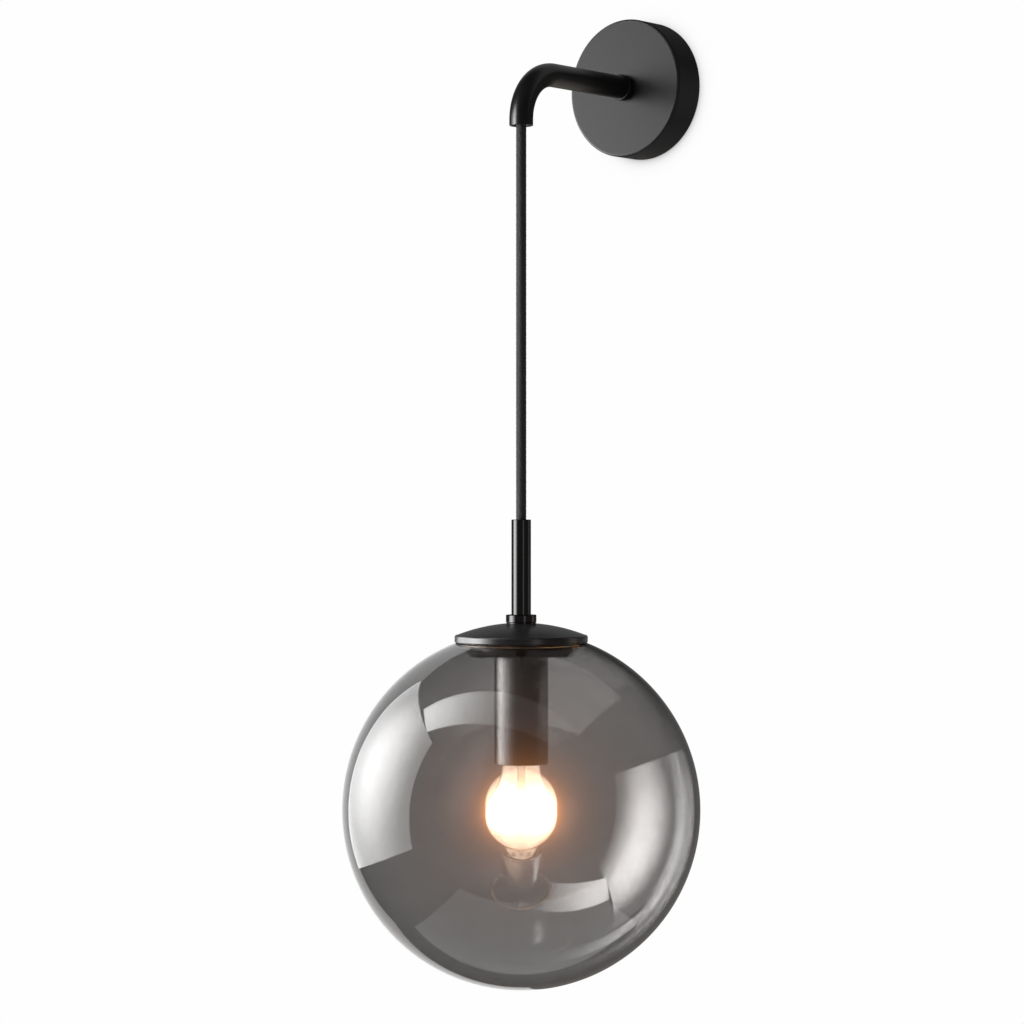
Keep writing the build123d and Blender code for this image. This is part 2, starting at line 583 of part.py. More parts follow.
FIL_R, FIL_Z = 12.0, -619.0
wires = []
for s in (1, -1):
    wires.append(lamp_wire([(s * 1.9, 0, -608.2), (s * 1.9, 0, -610.5), (s * FIL_R, 0, FIL_Z + 1.2),
                            (s * FIL_R, 0, FIL_Z - 1.0)], 0.35, [1.2, 1.2]))
wires.append(rod_z(0, -ARM_REACH, 1.3, -613.5, -607.6))
for a in (-45.0, -90.0, -135.0):
    ca, sa = cos(radians(a)), sin(radians(a))
    wires.append(lamp_wire([(ca * 1.2, sa * 1.2, -611.6), (ca * 3.0, sa * 3.0, -612.2),
                            (ca * (FIL_R + 0.2), sa * (FIL_R + 0.2), FIL_Z + 0.55)], 0.22, [1.0]))
save(wires, "lamp_support_wires")
fil = revolve(Plane(origin=(FIL_R, 0, FIL_Z), x_dir=(1, 0, 0), z_dir=(0, -1, 0)) * Circle(0.45),
              axis=Axis.Z, revolution_arc=-170)
save(AXIS * (Rot(0, 0, -5) * fil), "lamp_filament")
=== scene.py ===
"""Globe wall sconce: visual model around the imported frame.  Metres, the frame of the CAD."""
from math import acos, atan2, cos, pi, radians, sin, sqrt, tau

import bmesh
import bpy
import numpy as np
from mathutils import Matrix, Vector


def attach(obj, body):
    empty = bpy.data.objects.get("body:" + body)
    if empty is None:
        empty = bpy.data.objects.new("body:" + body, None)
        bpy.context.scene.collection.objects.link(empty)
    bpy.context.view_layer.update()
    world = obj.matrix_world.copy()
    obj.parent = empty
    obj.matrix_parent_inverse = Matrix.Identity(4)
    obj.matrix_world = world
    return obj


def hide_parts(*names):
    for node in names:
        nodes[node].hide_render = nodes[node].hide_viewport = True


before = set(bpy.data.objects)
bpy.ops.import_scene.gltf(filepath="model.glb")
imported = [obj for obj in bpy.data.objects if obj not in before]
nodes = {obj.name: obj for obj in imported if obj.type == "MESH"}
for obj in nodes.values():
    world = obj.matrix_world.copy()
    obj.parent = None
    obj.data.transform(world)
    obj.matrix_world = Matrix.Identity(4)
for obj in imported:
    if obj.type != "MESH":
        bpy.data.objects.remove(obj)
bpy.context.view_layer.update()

MM = 0.001
AX = Vector((0.0, -0.170, 0.0))          # axis of the cord and the pendant
scene = bpy.context.scene

# ================================================================== camera
cam_data = bpy.data.cameras.new("camera")
cam = bpy.data.objects.new("camera", cam_data)
scene.collection.objects.link(cam)
cam_data.sensor_fit = "HORIZONTAL"
cam_data.sensor_width = 36.0
cam_data.lens = 2891.517 / 1024.0 * 36.0
cam_data.clip_start = 0.05
cam_data.clip_end = 50.0
cam.location = (1.55743, -2.02827, -0.362844)
cam.rotation_euler = (radians(90.0 - 0.185), 0.0, radians(40.149))
scene.camera = cam


# ============================================================ node helpers
def new_material(name):
    m = bpy.data.materials.new(name)
    m.use_nodes = True
    t = m.node_tree
    b = t.nodes["Principled BSDF"]
    return m, t, b


def node(t, kind, **inputs):
    n = t.nodes.new(kind)
    for k, v in inputs.items():
        if hasattr(n, k) and k not in n.inputs:
            setattr(n, k, v)
        else:
            n.inputs[k.replace("_", " ")].default_value = v
    return n


def noise(t, coord, scale, detail=2.0, rough=0.5, dist=0.0, stretch=None):
    n = t.nodes.new("ShaderNodeTexNoise")
    n.inputs["Scale"].default_value = scale
    n.inputs["Detail"].default_value = detail
    n.inputs["Roughness"].default_value = rough
    n.inputs["Distortion"].default_value = dist
    if stretch:
        mp = t.nodes.new("ShaderNodeMapping")
        mp.inputs["Scale"].default_value = stretch
        t.links.new(coord, mp.inputs["Vector"])
        coord = mp.outputs["Vector"]
    t.links.new(coord, n.inputs["Vector"])
    return n.outputs["Fac"]


def ramp(t, fac, stops):
    r = t.nodes.new("ShaderNodeValToRGB")
    el = r.color_ramp.elements
    while len(el) < len(stops):
        el.new(0.5)
    for e, (p, c) in zip(el, stops):
        e.position = p
        e.color = (c, c, c, 1) if not hasattr(c, "__len__") else (*c, 1)
    t.links.new(fac, r.inputs["Fac"])
    return r.outputs["Color"]


def bump(t, height, distance, strength=1.0, normal=None):
    b = t.nodes.new("ShaderNodeBump")
    b.inputs["Strength"].default_value = strength
    b.inputs["Distance"].default_value = distance
    t.links.new(height, b.inputs["Height"])
    if normal is not None:
        t.links.new(normal, b.inputs["Normal"])
    return b.outputs["Normal"]


def coords(t):
    return t.nodes.new("ShaderNodeTexCoord").outputs["Object"]


def radius_from(t, coord, axis="Z", centre=(0.0, -0.170, 0.0)):
    """Distance of the shaded point from a straight axis, as a socket."""
    sub = t.nodes.new("ShaderNodeVectorMath")
    sub.operation = "SUBTRACT"
    sub.inputs[1].default_value = centre
    t.links.new(coord, sub.inputs[0])
    flat = t.nodes.new("ShaderNodeVectorMath")
    flat.operation = "MULTIPLY"
    flat.inputs[1].default_value = (1, 1, 0) if axis == "Z" else (1, 0, 1)
    t.links.new(sub.outputs[0], flat.inputs[0])
    ln = t.nodes.new("ShaderNodeVectorMath")
    ln.operation = "LENGTH"
    t.links.new(flat.outputs[0], ln.inputs[0])
    return ln.outputs["Value"]


def math_node(t, op, a, b=None):
    m = t.nodes.new("ShaderNodeMath")
    m.operation = op
    for i, v in enumerate((a, b)):
        if v is None:
            continue
        if isinstance(v, (int, float)):
            m.inputs[i].default_value = v
        else:
            t.links.new(v, m.inputs[i])
    return m.outputs[0]


# ================================================================ materials
def painted(name, colour, rough, rough_var=0.06, grain=1400.0, grain_depth=0.00002, spec=0.5, coat=0.0,
            coat_rough=0.1, mottle=0.25, fine=5200.0, sheen=0.0):
    """Lacquered or powder-coated sheet metal: fine orange peel, mottled gloss, a little dust."""
    m, t, b = new_material(name)
    c = coords(t)
    n1 = noise(t, c, grain, 3.0, 0.6)
    n2 = noise(t, c, fine, 2.0, 0.5)
    big = noise(t, c, 60.0, 3.0, 0.55)
    lo = tuple(v * (1.0 - mottle) for v in colour)
    hi = tuple(v * (1.0 + mottle) for v in colour)
    mix = math_node(t, "ADD", math_node(t, "MULTIPLY", n1, 0.65), math_node(t, "MULTIPLY", big, 0.35))
    t.links.new(ramp(t, mix, [(0.36, lo), (0.64, hi)]), b.inputs["Base Color"])
    r = math_node(t, "ADD", math_node(t, "MULTIPLY", math_node(t, "SUBTRACT", n1, 0.5), rough_var * 2.0), rough)
    r = math_node(t, "ADD", r, math_node(t, "MULTIPLY", math_node(t, "SUBTRACT", big, 0.5), rough_var))
    t.links.new(r, b.inputs["Roughness"])
    nrm = bump(t, n1, grain_depth, 1.0)
    nrm = bump(t, n2, grain_depth * 0.4, 1.0, nrm)
    t.links.new(nrm, b.inputs["Normal"])
    b.inputs["Specular IOR Level"].default_value = spec
    b.inputs["Coat Weight"].default_value = coat
    b.inputs["Coat Roughness"].default_value = coat_rough
    b.inputs["Sheen Weight"].default_value = sheen
    return m


def spun(name, colour, rough, depth=0.000012, spec=0.5, coat=0.0, coat_rough=0.08, axis="Z",
         centre=(0.0, -0.170, 0.0), metal=0.0, aniso=0.0, var=0.05):
    """Turned or spun metal under lacquer: faint rings round the axis."""
    m, t, b = new_material(name)
    c = coords(t)
    rad = radius_from(t, c, axis, centre)
    sep = t.nodes.new("ShaderNodeSeparateXYZ")
    t.links.new(c, sep.inputs[0])
    along = sep.outputs["Z" if axis == "Z" else "Y"]
    comb = t.nodes.new("ShaderNodeCombineXYZ")
    t.links.new(rad, comb.inputs[0])
    t.links.new(along, comb.inputs[1])
    rings = noise(t, comb.outputs[0], 2600.0, 3.0, 0.65)
    dust = noise(t, c, 900.0, 4.0, 0.7)
    big = noise(t, c, 45.0, 2.0, 0.5)
    t.links.new(ramp(t, dust, [(0.3, tuple(v * 0.8 for v in colour)), (0.75, tuple(v * 1.2 for v in colour))]),
                b.inputs["Base Color"])
    r = math_node(t, "ADD", math_node(t, "MULTIPLY", math_node(t, "SUBTRACT", rings, 0.5), var), rough)
    r = math_node(t, "ADD", r, math_node(t, "MULTIPLY", math_node(t, "SUBTRACT", big, 0.5), var))
    t.links.new(r, b.inputs["Roughness"])
    nrm = bump(t, rings, depth, 1.0)
    nrm = bump(t, dust, depth * 0.8, 1.0, nrm)
    t.links.new(nrm, b.inputs["Normal"])
    b.inputs["Specular IOR Level"].default_value = spec
    b.inputs["Coat Weight"].default_value = coat
    b.inputs["Coat Roughness"].default_value = coat_rough
    b.inputs["Metallic"].default_value = metal
    b.inputs["Anisotropic"].default_value = aniso
    return m


def moulded(name, colour, rough, grain=900.0, depth=0.000015, spec=0.5, sub=0.0, var=0.12):
    """Moulded plastic or fired ceramic: even colour with faint flow and a fine surface."""
    m, t, b = new_material(name)
    c = coords(t)
    n1 = noise(t, c, grain, 3.0, 0.6)
    flow = noise(t, c, 80.0, 2.0, 0.5, 0.6)
    t.links.new(ramp(t, flow, [(0.3, tuple(v * (1 - var) for v in colour)), (0.7, tuple(min(1, v * (1 + var)) for v in colour))]),
                b.inputs["Base Color"])
    t.links.new(math_node(t, "ADD", math_node(t, "MULTIPLY", n1, 0.12), rough - 0.06), b.inputs["Roughness"])
    t.links.new(bump(t, n1, depth), b.inputs["Normal"])
    b.inputs["Specular IOR Level"].default_value = spec
    if sub:
        b.inputs["Subsurface Weight"].default_value = sub
        b.inputs["Subsurface Scale"].default_value = 0.002
    return m


M = {}
M["canopy"] = painted("satin_black_canopy", (0.0042, 0.0042, 0.0048), 0.36, rough_var=0.06, grain=1500.0,
                      grain_depth=0.000022, spec=0.36, mottle=0.3)
M["arm"] = painted("satin_black_tube", (0.0016, 0.0015, 0.0014), 0.30, rough_var=0.04, grain=1100.0,
                   grain_depth=0.000006, spec=0.50, mottle=0.2)
M["ring"] = painted("satin_black_ring", (0.0014, 0.0013, 0.0012), 0.42, rough_var=0.04, grain=1100.0,
                    grain_depth=0.000006, spec=0.3, mottle=0.2)
M["stem"] = spun("gloss_black_stem", (0.0014, 0.0013, 0.0013), 0.15, depth=0.000003)
M["cap"] = spun("satin_black_cap", (0.0065, 0.0065, 0.0070), 0.27, depth=0.000006)
M["pan"] = spun("satin_black_pan", (0.012, 0.010, 0.008), 0.20, depth=0.000005)
# painted light: the satin black cup gets a pale metal colour so that its highlights through the smoked glass come out
# brighter
M["cup"] = spun("black_cup_painted_pale", (0.460, 0.455, 0.450), 0.25, depth=0.000004, metal=1.0)
M["zinc"] = spun("zinc_plated_steel", (0.62, 0.63, 0.62), 0.34, depth=0.00001, metal=1.0, var=0.15)
M["spring"] = spun("spring_steel_strip", (0.58, 0.57, 0.55), 0.26, depth=0.000005, metal=1.0, var=0.1)
M["brass"] = spun("turned_brass", (0.78, 0.57, 0.29), 0.30, depth=0.000006, metal=1.0, var=0.12)
M["nickel"] = spun("nickel_plate", (0.70, 0.68, 0.64), 0.22, depth=0.000004, metal=1.0, var=0.1)
M["bnylon"] = moulded("black_nylon", (0.020, 0.020, 0.021), 0.45)
M["wnylon"] = moulded("white_nylon", (0.72, 0.71, 0.67), 0.42, sub=0.1)
M["phenolic"] = moulded("black_phenolic", (0.014, 0.013, 0.012), 0.30)
M["ceramic"] = moulded("glazed_white_ceramic", (0.78, 0.77, 0.73), 0.18, depth=0.000008, sub=0.05, var=0.05)
M["silicone"] = moulded("silicone_with_painted_glow", (0.50, 0.40, 0.30), 0.40, sub=0.3)


def painted_lamp_glow(m, colour, low, high, scale):
    """Painted glow: emission in patches on a translucent ring, standing in for the lamp's light passing through it."""
    t = m.node_tree
    b = t.nodes["Principled BSDF"]
    n = noise(t, coords(t), scale, 2.0, 0.55)
    b.inputs["Emission Color"].default_value = (*colour, 1)
    mr = t.nodes.new("ShaderNodeMapRange")
    mr.inputs["From Min"].default_value = 0.42
    mr.inputs["From Max"].default_value = 0.62
    mr.inputs["To Min"].default_value = low
    mr.inputs["To Max"].default_value = high
    t.links.new(n, mr.inputs["Value"])
    t.links.new(mr.outputs["Result"], b.inputs["Emission Strength"])


# the gasket gets a painted warm glow in patches, though it is no lamp
painted_lamp_glow(M["silicone"], (1.0, 0.52, 0.20), 0.02, 0.60, 55.0)
M["vitrite"] = moulded("black_vitrite", (0.012, 0.011, 0.013), 0.12)
M["solder"] = spun("solder_button", (0.56, 0.56, 0.55), 0.42, depth=0.00003, metal=1.0, var=0.2)
M["brown"] = moulded("brown_core", (0.110, 0.036, 0.014), 0.38)
M["blue"] = moulded("blue_core", (0.018, 0.075, 0.36), 0.38)
M["green"] = moulded("green_yellow_core", (0.10, 0.32, 0.03), 0.38)


def earth_stripe(m):
    """A yellow stripe along the earth conductor's green insulation."""
    t = m.node_tree
    b = t.nodes["Principled BSDF"]
    c = coords(t)
    w = t.nodes.new("ShaderNodeTexWave")
    w.bands_direction = "DIAGONAL"
    w.inputs["Scale"].default_value = 160.0
    w.inputs["Distortion"].default_value = 0.4
    t.links.new(c, w.inputs["Vector"])
    t.links.new(ramp(t, w.outputs["Fac"], [(0.48, (0.03, 0.20, 0.035)), (0.52, (0.72, 0.52, 0.02))]), b.inputs["Base Color"])


earth_stripe(M["green"])


def braid_material():
    m, t, b = new_material("braided_black_textile")
    c = coords(t)
    uv = t.nodes.new("ShaderNodeUVMap")
    uv.uv_map = "strand"
    mp = t.nodes.new("ShaderNodeMapping")
    mp.inputs["Scale"].default_value = (1.0, 5.0, 1.0)
    t.links.new(uv.outputs["UV"], mp.inputs["Vector"])
    w = t.nodes.new("ShaderNodeTexWave")
    w.bands_direction = "Y"
    w.inputs["Scale"].default_value = 1.0
    w.inputs["Distortion"].default_value = 1.2
    w.inputs["Detail"].default_value = 2.0
    t.links.new(mp.outputs["Vector"], w.inputs["Vector"])
    fuzz = noise(t, c, 3800.0, 3.0, 0.7)
    speck = noise(t, c, 1500.0, 2.0, 0.6)
    col = math_node(t, "ADD", math_node(t, "MULTIPLY", fuzz, 0.5), math_node(t, "MULTIPLY", speck, 0.5))
    t.links.new(ramp(t, col, [(0.42, (0.003, 0.003, 0.0032)), (0.56, (0.012, 0.012, 0.0125)), (0.68, (0.060, 0.058, 0.058))]),
                b.inputs["Base Color"])
    h = math_node(t, "ADD", math_node(t, "MULTIPLY", w.outputs["Fac"], 0.6), math_node(t, "MULTIPLY", fuzz, 0.6))
    t.links.new(bump(t, h, 0.00008, 0.9), b.inputs["Normal"])
    t.links.new(math_node(t, "ADD", math_node(t, "MULTIPLY", fuzz, 0.3), 0.42), b.inputs["Roughness"])
    b.inputs["Specular IOR Level"].default_value = 0.55
    b.inputs["Sheen Weight"].default_value = 0.05
    b.inputs["Sheen Roughness"].default_value = 0.4
    return m


M["braid"] = braid_material()


def woven_plain():
    """The same textile for the short plain stretches inside the tube."""
    m, t, b = new_material("braided_black_textile_inner")
    c = coords(t)
    v = t.nodes.new("ShaderNodeTexVoronoi")
    v.inputs["Scale"].default_value = 1100.0
    t.links.new(c, v.inputs["Vector"])
    f = noise(t, c, 3000.0, 3.0, 0.7)
    t.links.new(ramp(t, f, [(0.35, (0.006, 0.006, 0.0065)), (0.7, (0.035, 0.034, 0.034))]), b.inputs["Base Color"])
    t.links.new(bump(t, v.outputs["Distance"], 0.00025, 1.0), b.inputs["Normal"])
    b.inputs["Roughness"].default_value = 0.6
    return m


M["braid_inner"] = woven_plain()


def glass(name, tint, ior=1.5, rough=0.0, wave=0.0, wave_scale=20.0, emit=None, emit_strength=0.0, speck=0.0):
    """Clear or smoked glass.  A wall has two surfaces, and each takes the root of the tint."""
    m, t, b = new_material(name)
    c = coords(t)
    n = noise(t, c, wave_scale, 2.0, 0.5)
    t.links.new(ramp(t, n, [(0.3, tuple(v * 0.985 for v in tint)), (0.7, tuple(min(1.0, v * 1.015) for v in tint))]),
                b.inputs["Base Color"])
    if wave:
        t.links.new(bump(t, n, wave, 1.0), b.inputs["Normal"])
    fine = noise(t, c, 300.0, 3.0, 0.6)
    t.links.new(math_node(t, "MULTIPLY", ramp(t, fine, [(0.45, 0.0), (0.8, 1.0)]), speck), b.inputs["Roughness"])
    b.inputs["IOR"].default_value = ior
    b.inputs["Transmission Weight"].default_value = 1.0
    if emit:
        # the filament lights the bowl of the lamp more than its foot and its neck
        b.inputs["Emission Color"].default_value = (*emit, 1)
        sep = t.nodes.new("ShaderNodeSeparateXYZ")
        t.links.new(c, sep.inputs[0])
        far = math_node(t, "ABSOLUTE", math_node(t, "ADD", sep.outputs["Z"], 0.6205))
        mr = t.nodes.new("ShaderNodeMapRange")
        mr.interpolation_type = "SMOOTHSTEP"
        mr.inputs["From Min"].default_value = 0.002
        mr.inputs["From Max"].default_value = 0.029
        mr.inputs["To Min"].default_value = emit_strength
        mr.inputs["To Max"].default_value = emit_strength * 0.29
        t.links.new(far, mr.inputs["Value"])
        t.links.new(mr.outputs["Result"], b.inputs["Emission Strength"])
    return m


SMOKE = (0.584, 0.576, 0.571)
M["smoke"] = glass("smoked_glass", SMOKE, 1.44, wave=0.00025, wave_scale=7.0, speck=0.0)


def vapour(name, share, colour=(1.0, 1.0, 1.0)):
    """The thin metal vapour that smokes the glass on the inside: part mirror, part clear, and only on its near side."""
    m, t, b = new_material(name)
    c = coords(t)
    n = noise(t, c, 14.0, 2.0, 0.5)
    geo_ = t.nodes.new("ShaderNodeNewGeometry")
    sep = t.nodes.new("ShaderNodeSeparateXYZ")     # the metal is thick towards the wall and thin towards the room
    t.links.new(c, sep.inputs[0])
    mr = t.nodes.new("ShaderNodeMapRange")
    mr.interpolation_type = "SMOOTHSTEP"
    mr.inputs["From Min"].default_value = -0.170 + 0.030
    mr.inputs["From Max"].default_value = -0.170 + 0.110
    mr.inputs["To Min"].default_value = 0.05
    mr.inputs["To Max"].default_value = 1.0
    t.links.new(sep.outputs["Y"], mr.inputs["Value"])
    t.links.new(ramp(t, mr.outputs["Result"], [(0.0, 0.0), (1.0, colour)]), b.inputs["Base Color"])
    b.inputs["Metallic"].default_value = 1.0
    t.links.new(math_node(t, "MULTIPLY", n, 0.0004), b.inputs["Roughness"])
    near = math_node(t, "SUBTRACT", 1.0, geo_.outputs["Backfacing"])
    var = math_node(t, "ADD", math_node(t, "MULTIPLY", math_node(t, "SUBTRACT", n, 0.5), share * 0.15), share)
    t.links.new(math_node(t, "MULTIPLY", near, var), b.inputs["Alpha"])
    return m


M["vapour"] = vapour("smoke_vapour_inside", 0.62)
M["vapour_back"] = vapour("smoke_vapour_glass_side", 0.015)
M["lamp_out"] = glass("clear_lamp_glass", (0.99, 0.97, 0.94), 1.47, wave=0.00004, wave_scale=60.0, speck=0.02)
M["lamp_in"] = glass("clear_lamp_glass_inside", (0.99, 0.97, 0.94), 1.47, wave=0.00004, wave_scale=60.0, speck=0.02,
                     emit=(1.0, 0.77, 0.60), emit_strength=1.8)
M["mount"] = glass("lamp_mount_glass", (0.92, 0.90, 0.86), 1.5, wave=0.0002, wave_scale=200.0, speck=0.05)


def glowing(name, colour, strength):
    m, t, b = new_material(name)
    c = coords(t)
    n = noise(t, c, 700.0, 2.0, 0.5)
    t.links.new(ramp(t, n, [(0.2, tuple(v * 0.9 for v in colour)), (0.8, colour)]), b.inputs["Emission Color"])
    b.inputs["Emission Strength"].default_value = strength
    b.inputs["Base Color"].default_value = (0.3, 0.28, 0.25, 1)
    b.inputs["Roughness"].default_value = 0.4
    return m


M["filament"] = glowing("glowing_tungsten", (1.0, 0.84, 0.60), 420.0)
M["wires"] = glowing("hot_support_wire", (1.0, 0.76, 0.50), 1.2)

# ------------------------------------------------- finish of each CAD node
FINISH = {
    "wall_bracket": "zinc", "canopy": "canopy", "canopy_set_screws": "bnylon", "arm_root_ring": "ring",
    "arm_tube": "arm", "arm_root_plug": "zinc", "arm_nipple": "zinc", "arm_lock_washer": "zinc", "arm_nut": "zinc",
    "cord_grip": "wnylon", "cord_grip_screw": "zinc", "outlet_bushing": "bnylon", "cord_in_arm": "braid_inner",
    "terminal_block": "wnylon", "terminal_barrels": "brass", "terminal_screws": "zinc",
    "terminal_block_screw": "zinc", "earth_ring_terminal": "nickel", "earth_screw": "brass",
    "canopy_live_core": "brown", "canopy_neutral_core": "blue", "canopy_earth_core": "green",
    "cord_flex": "braid_inner", "hanging_cord": "braid", "cord_ferrule": "nickel", "stem": "stem",
    "stem_bush": "brass", "stem_collar": "stem", "collar_washer": "stem", "globe_cap": "cap",
    "pendant_nipple": "zinc", "pendant_nuts": "zinc", "pendant_washers": "zinc", "gallery_pan": "pan",
    "globe_gasket": "silicone", "spring_clips": "spring", "clip_rivets": "nickel", "socket_cup": "cup",
    "lampholder_hat": "phenolic", "lampholder_base": "ceramic", "lampholder_sleeve": "phenolic",
    "screw_shell": "brass", "centre_contact": "brass", "lampholder_terminals": "brass",
    "lampholder_terminal_screws": "zinc", "pendant_live_core": "brown", "pendant_neutral_core": "blue",
    "pendant_earth_core": "green", "glass_globe": "smoke", "lamp_contact": "solder", "lamp_glass": "lamp_out",
    "lamp_screw_cap": "nickel", "lamp_insulator": "vitrite", "lamp_glass_mount": "mount",
    "lamp_support_wires": "wires", "lamp_filament": "filament",
}
for name, obj in nodes.items():
    mats = obj.data.materials
    for i in range(len(mats)):
        mats[i] = M[FINISH[name]]


# ============================================================ mesh helpers
def arc(cx, cz, r, a0, a1, n):
    """Points of an arc in the (r, z) half plane, angles in degrees from +r."""
    return [(cx + r * cos(radians(a0 + (a1 - a0) * i / n)), cz + r * sin(radians(a0 + (a1 - a0) * i / n)))
            for i in range(n + 1)]


def spin_mesh(name, profile, segments=192, closed=False, centre=(0.0, -170.0), material=None, split=None, flip=False):
    """A surface of revolution round a vertical axis from (r, z) points in mm.
    A point on the axis becomes one vertex.  split(i) gives a material index for the band after point i."""
    bm = bmesh.new()
    rings = []
    for r, z in profile:
        if r < 1e-6:
            rings.append([bm.verts.new((centre[0] * MM, centre[1] * MM, z * MM))])
        else:
            rings.append([bm.verts.new(((centre[0] + r * cos(tau * k / segments)) * MM,
                                        (centre[1] + r * sin(tau * k / segments)) * MM, z * MM))
                          for k in range(segments)])
    pairs = list(zip(range(len(rings) - 1), range(1, len(rings))))
    if closed:
        pairs.append((len(rings) - 1, 0))
    for i, j in pairs:
        a, b = rings[i], rings[j]
        mi = split(i) if split else 0
        for k in range(segments):
            k2 = (k + 1) % segments
            if len(a) == 1 and len(b) == 1:
                break
            if len(a) == 1:
                f = bm.faces.new((a[0], b[k2], b[k]))
            elif len(b) == 1:
                f = bm.faces.new((a[k], a[k2], b[0]))
            else:
                f = bm.faces.new((a[k], a[k2], b[k2], b[k]))
            f.smooth = True
            f.material_index = mi
    bmesh.ops.recalc_face_normals(bm, faces=bm.faces[:])
    me = bpy.data.meshes.new(name)
    bm.to_mesh(me)
    bm.free()
    obj = bpy.data.objects.new(name, me)
    scene.collection.objects.link(obj)
    for mt in (material if isinstance(material, (list, tuple)) else [material]):
        me.materials.append(mt)
    return obj


# ============================================================ braided cord
CORD_TOP, CORD_END = -0.0425, -0.3938


def route_spline():
    """The cord's line: a NURBS spline, straight down from the arm's mouth into the stem."""
    cu = bpy.data.curves.new("cord_route", "CURVE")
    cu.dimensions = "3D"
    sp = cu.splines.new("NURBS")
    pts = [(0.0, -0.170, -0.0425), (0.0, -0.170, -0.0950), (0.0, -0.170, -0.2180),
           (0.0, -0.170, -0.3410), (0.0, -0.170, -0.3938)]
    sp.points.add(len(pts) - 1)
    for p, q in zip(sp.points, pts):
        p.co = (*q, 1.0)
    sp.order_u = 3
    sp.use_endpoint_u = True
    sp.resolution_u = 24
    ob = bpy.data.objects.new("cord_route", cu)
    scene.collection.objects.link(ob)
    dg = bpy.context.evaluated_depsgraph_get()
    me = bpy.data.meshes.new_from_object(ob.evaluated_get(dg))
    line = [tuple(v.co) for v in me.vertices]
    bpy.data.objects.remove(ob)
    bpy.data.meshes.remove(me)
    return line


def frames_along(line, step):
    """Points at even steps along a polyline, with a frame that does not twist."""
    p = np.array(line)
    seg = np.linalg.norm(np.diff(p, axis=0), axis=1)
    s = np.concatenate([[0], np.cumsum(seg)])
    n = int(s[-1] / step) + 1
    u = np.linspace(0, s[-1], n)
    q = np.stack([np.interp(u, s, p[:, k]) for k in range(3)], 1)
    tan = np.gradient(q, axis=0)
    tan /= np.linalg.norm(tan, axis=1)[:, None]
    e1 = np.zeros_like(q)
    ref = np.array([1.0, 0.0, 0.0])
    for i in range(n):
        v = ref - tan[i] * (ref @ tan[i])
        v /= np.linalg.norm(v)
        e1[i] = v
        ref = v
    e2 = np.cross(tan, e1)
    return u, q, tan, e1, e2


